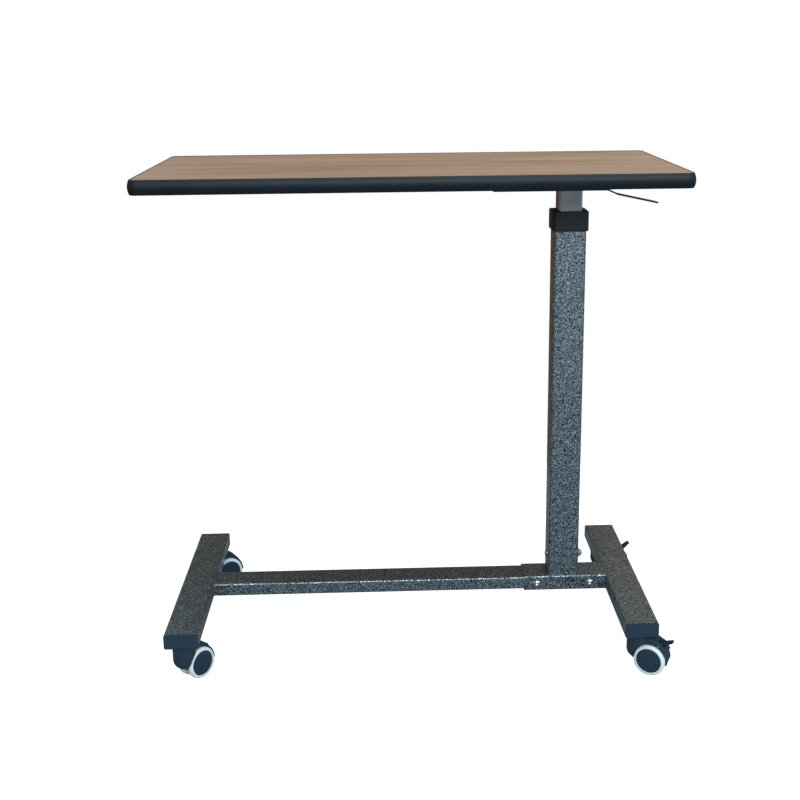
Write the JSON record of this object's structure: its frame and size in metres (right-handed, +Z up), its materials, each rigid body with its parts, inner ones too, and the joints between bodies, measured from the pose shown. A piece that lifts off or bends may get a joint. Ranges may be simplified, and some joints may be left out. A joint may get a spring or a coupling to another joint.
{
  "type": "overbed table",
  "caption": "Overbed table: laminated top on an offset telescoping mast with a gas spring and release lever, on a low H-shaped base with twin-wheel swivel casters.",
  "frame": {"origin": "on the floor below the middle of the tabletop", "axes": "+X along the tabletop towards the mast end, +Y across it to the far long edge, +Z up"},
  "size_m": [0.7618, 0.4168, 0.741],
  "materials": {
    "laminate": "satin wood-grain laminate",
    "core": "raw particle board",
    "backing": "matt backing sheet",
    "edging": "semi-gloss black edging",
    "black_plastic": "moulded, satin",
    "vein_coat": "silver-vein powder coat",
    "slate_plastic": "moulded, satin",
    "zinc": "bright zinc plate",
    "steel": "nickel plate",
    "black_steel": "black lacquer",
    "tyre_rubber": "pale non-marking rubber"
  },
  "bodies": {
    "base": {"left_foot": "vein_coat", "right_foot": "vein_coat", "foot_end_caps": "slate_plastic", "cross_beam": "vein_coat", "cross_sleeve": "vein_coat", "sleeve_screws": "steel", "mast_socket": "vein_coat", "mast_tube": "vein_coat", "mast_bolt": "steel", "mast_dome_nut": "steel", "mast_collar": "black_plastic", "gas_spring_cylinder": "black_steel", "gas_spring_seal": "black_plastic", "cylinder_nut": "steel", "stem_nuts": "steel", "front_left_stem": "steel", "front_right_stem": "steel", "rear_left_stem": "steel", "rear_right_stem": "steel"},
    "tabletop": {"tabletop_board": "core", "top_laminate": "laminate", "backing_sheet": "backing", "edge_trim": "edging", "top_bracket": "black_steel", "bracket_screws": "steel", "inner_tube": "zinc", "tube_glide": "black_plastic", "gas_spring_rod": "steel", "rod_nut": "steel", "lever_pin": "steel"},
    "lever": {"release_lever": "black_steel"},
    "pin": {"release_pin": "steel"},
    "front_left_caster": {"front_left_housing": "slate_plastic", "front_left_axle": "steel"},
    "front_left_wheel_a": {"front_left_wheel_a": "slate_plastic", "front_left_tyre_a": "tyre_rubber"},
    "front_left_wheel_b": {"front_left_wheel_b": "slate_plastic", "front_left_tyre_b": "tyre_rubber"},
    "front_right_caster": {"front_right_housing": "slate_plastic", "front_right_axle": "steel", "front_right_brake_pin": "steel"},
    "front_right_wheel_a": {"front_right_wheel_a": "slate_plastic", "front_right_tyre_a": "tyre_rubber"},
    "front_right_wheel_b": {"front_right_wheel_b": "slate_plastic", "front_right_tyre_b": "tyre_rubber"},
    "front_right_brake": {"front_right_brake_pedal": "black_plastic"},
    "rear_left_caster": {"rear_left_housing": "slate_plastic", "rear_left_axle": "steel"},
    "rear_left_wheel_a": {"rear_left_wheel_a": "slate_plastic", "rear_left_tyre_a": "tyre_rubber"},
    "rear_left_wheel_b": {"rear_left_wheel_b": "slate_plastic", "rear_left_tyre_b": "tyre_rubber"},
    "rear_right_caster": {"rear_right_housing": "slate_plastic", "rear_right_axle": "steel", "rear_right_brake_pin": "steel"},
    "rear_right_wheel_a": {"rear_right_wheel_a": "slate_plastic", "rear_right_tyre_a": "tyre_rubber"},
    "rear_right_wheel_b": {"rear_right_wheel_b": "slate_plastic", "rear_right_tyre_b": "tyre_rubber"},
    "rear_right_brake": {"rear_right_brake_pedal": "black_plastic"}
  },
  "joints": [
    {"name": "height", "type": "slide", "parent": "base", "child": "tabletop", "axis": [0, 0, 1], "range_m": [-0.027, 0.395]},
    {"name": "release_lever_tilt", "type": "hinge", "parent": "tabletop", "child": "lever", "pos_m": [0.2586, 0, 0.71], "axis": [0, -1, 0], "range_deg": [0, 7], "stiffness_Nm_per_rad": 0.6, "springref_deg": -11.46},
    {"name": "release_pin_press", "type": "slide", "parent": "tabletop", "child": "pin", "axis": [0, 0, -1], "range_m": [0, 0.0032]},
    {"name": "front_left_swivel", "type": "hinge", "parent": "base", "child": "front_left_caster", "pos_m": [-0.35, -0.174, 0.055], "axis": [0, 0, 1], "continuous": true},
    {"name": "front_left_wheel_a_spin", "type": "hinge", "parent": "front_left_caster", "child": "front_left_wheel_a", "pos_m": [-0.33618, -0.15753, 0.0242], "axis": [-0.766, 0.6428, 0], "continuous": true},
    {"name": "front_left_wheel_b_spin", "type": "hinge", "parent": "front_left_caster", "child": "front_left_wheel_b", "pos_m": [-0.33618, -0.15753, 0.0242], "axis": [-0.766, 0.6428, 0], "continuous": true},
    {"name": "front_right_swivel", "type": "hinge", "parent": "base", "child": "front_right_caster", "pos_m": [0.329, -0.174, 0.055], "axis": [0, 0, 1], "continuous": true},
    {"name": "front_right_wheel_a_spin", "type": "hinge", "parent": "front_right_caster", "child": "front_right_wheel_a", "pos_m": [0.34762, -0.18475, 0.0242], "axis": [0.5, 0.866, 0], "continuous": true},
    {"name": "front_right_wheel_b_spin", "type": "hinge", "parent": "front_right_caster", "child": "front_right_wheel_b", "pos_m": [0.34762, -0.18475, 0.0242], "axis": [0.5, 0.866, 0], "continuous": true},
    {"name": "front_right_brake_press", "type": "hinge", "parent": "front_right_caster", "child": "front_right_brake", "pos_m": [0.3594, -0.19155, 0.0489], "axis": [0.5, 0.866, 0], "range_deg": [-18, 0]},
    {"name": "rear_left_swivel", "type": "hinge", "parent": "base", "child": "rear_left_caster", "pos_m": [-0.35, 0.174, 0.055], "axis": [0, 0, 1], "continuous": true},
    {"name": "rear_left_wheel_a_spin", "type": "hinge", "parent": "rear_left_caster", "child": "rear_left_wheel_a", "pos_m": [-0.33138, 0.18475, 0.0242], "axis": [-0.5, 0.866, 0], "continuous": true},
    {"name": "rear_left_wheel_b_spin", "type": "hinge", "parent": "rear_left_caster", "child": "rear_left_wheel_b", "pos_m": [-0.33138, 0.18475, 0.0242], "axis": [-0.5, 0.866, 0], "continuous": true},
    {"name": "rear_right_swivel", "type": "hinge", "parent": "base", "child": "rear_right_caster", "pos_m": [0.329, 0.174, 0.055], "axis": [0, 0, 1], "continuous": true},
    {"name": "rear_right_wheel_a_spin", "type": "hinge", "parent": "rear_right_caster", "child": "rear_right_wheel_a", "pos_m": [0.35042, 0.17587, 0.0242], "axis": [-0.0872, 0.9962, 0], "continuous": true},
    {"name": "rear_right_wheel_b_spin", "type": "hinge", "parent": "rear_right_caster", "child": "rear_right_wheel_b", "pos_m": [0.35042, 0.17587, 0.0242], "axis": [-0.0872, 0.9962, 0], "continuous": true},
    {"name": "rear_right_brake_press", "type": "hinge", "parent": "rear_right_caster", "child": "rear_right_brake", "pos_m": [0.36397, 0.17706, 0.0489], "axis": [-0.0872, 0.9962, 0], "range_deg": [0, 18]}
  ],
  "couplings": [
    {"joint": "release_pin_press", "follows": "release_lever_tilt", "m_per_rad": 0.026}
  ]
}
